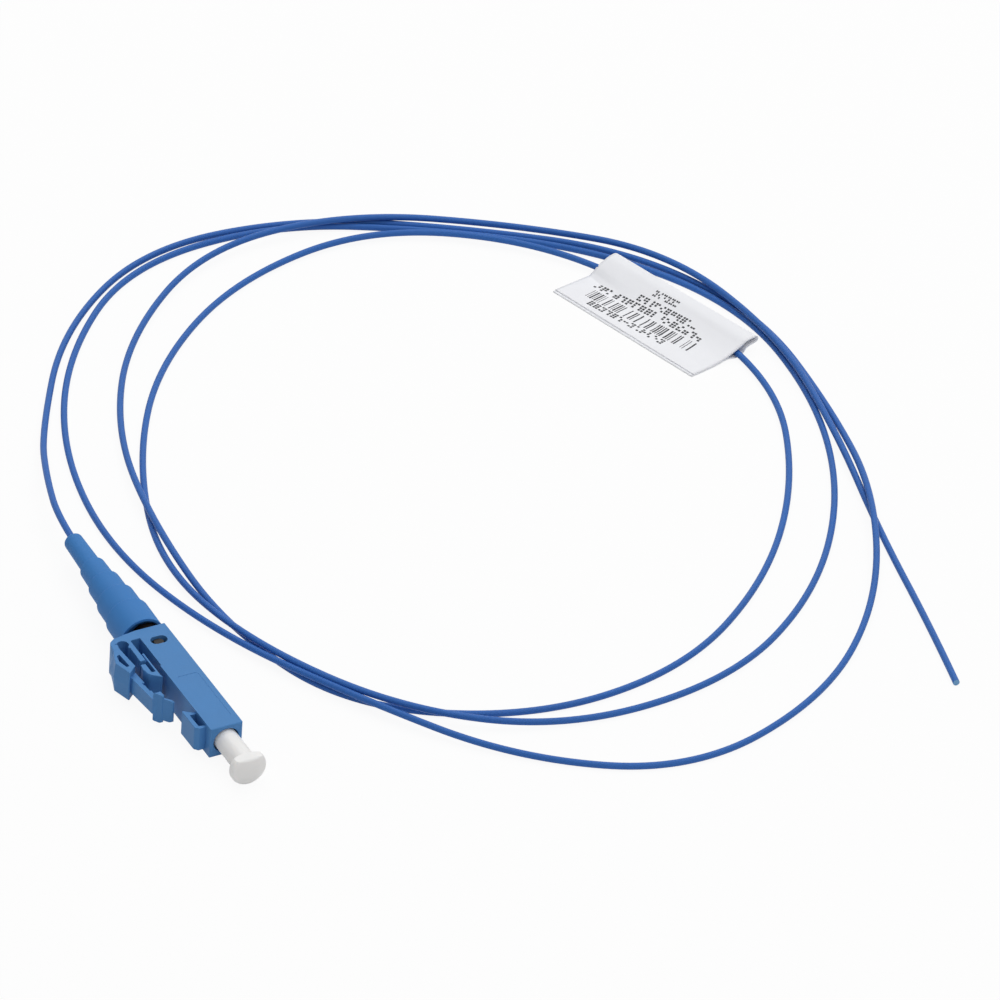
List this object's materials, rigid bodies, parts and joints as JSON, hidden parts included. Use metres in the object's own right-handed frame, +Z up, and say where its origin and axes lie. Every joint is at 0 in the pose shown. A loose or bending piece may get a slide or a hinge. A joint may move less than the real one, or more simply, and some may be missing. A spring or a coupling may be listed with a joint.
{
  "type": "fibre optic pigtail",
  "caption": "Small square fibre plug with a rear-pivoted thumb latch, stepped boot and dust cap on a loose coil of thin buffered fibre that ends in a bare cut, with a folded flag label.",
  "frame": {"origin": "on the table, under the middle of the plug with its boot and dust cap", "axes": "+X along the plug towards its mating end, +Y away from the latch towards the coil, +Z up from the table it lies on"},
  "size_m": [0.1336, 0.118, 0.0061],
  "materials": {
    "housing_blue": "satin moulded plastic",
    "boot_blue": "soft satin elastomer",
    "cap_white": "soft translucent white plastic",
    "ferrule_white": "polished ceramic",
    "flange_metal": "plated turned metal",
    "spring_steel": "bright drawn wire",
    "backbone_metal": "dark turned metal",
    "buffer_blue": "satin extruded jacket",
    "coated_glass": "coated glass strand",
    "label_white": "matt white film with dark printed blocks"
  },
  "bodies": {
    "plug_body": {"housing": "housing_blue", "backbone": "backbone_metal", "boot": "boot_blue", "spring": "spring_steel", "buffered_fibre": "buffer_blue", "flag_label": "label_white"},
    "latch": {"latch_lever": "housing_blue"},
    "cap": {"dust_cap": "cap_white"},
    "ferrule_set": {"ferrule": "ferrule_white", "ferrule_flange": "flange_metal", "bare_fibre": "coated_glass"}
  },
  "joints": [
    {"name": "latch_press", "type": "hinge", "parent": "plug_body", "child": "latch", "pos_m": [-0.00103, -0.0034, 0.00299], "axis": [0.0201, 0, 0.9998], "range_deg": [0, 4.5], "stiffness_Nm_per_rad": 0.02},
    {"name": "dust_cap_pull", "type": "slide", "parent": "plug_body", "child": "cap", "axis": [0.9998, 0, -0.0201], "range_m": [0, 0.012]},
    {"name": "ferrule_float", "type": "slide", "parent": "plug_body", "child": "ferrule_set", "axis": [-0.9998, 0, 0.0201], "range_m": [0, 0.001], "stiffness_N_per_m": 600, "deforming": ["spring"]}
  ]
}
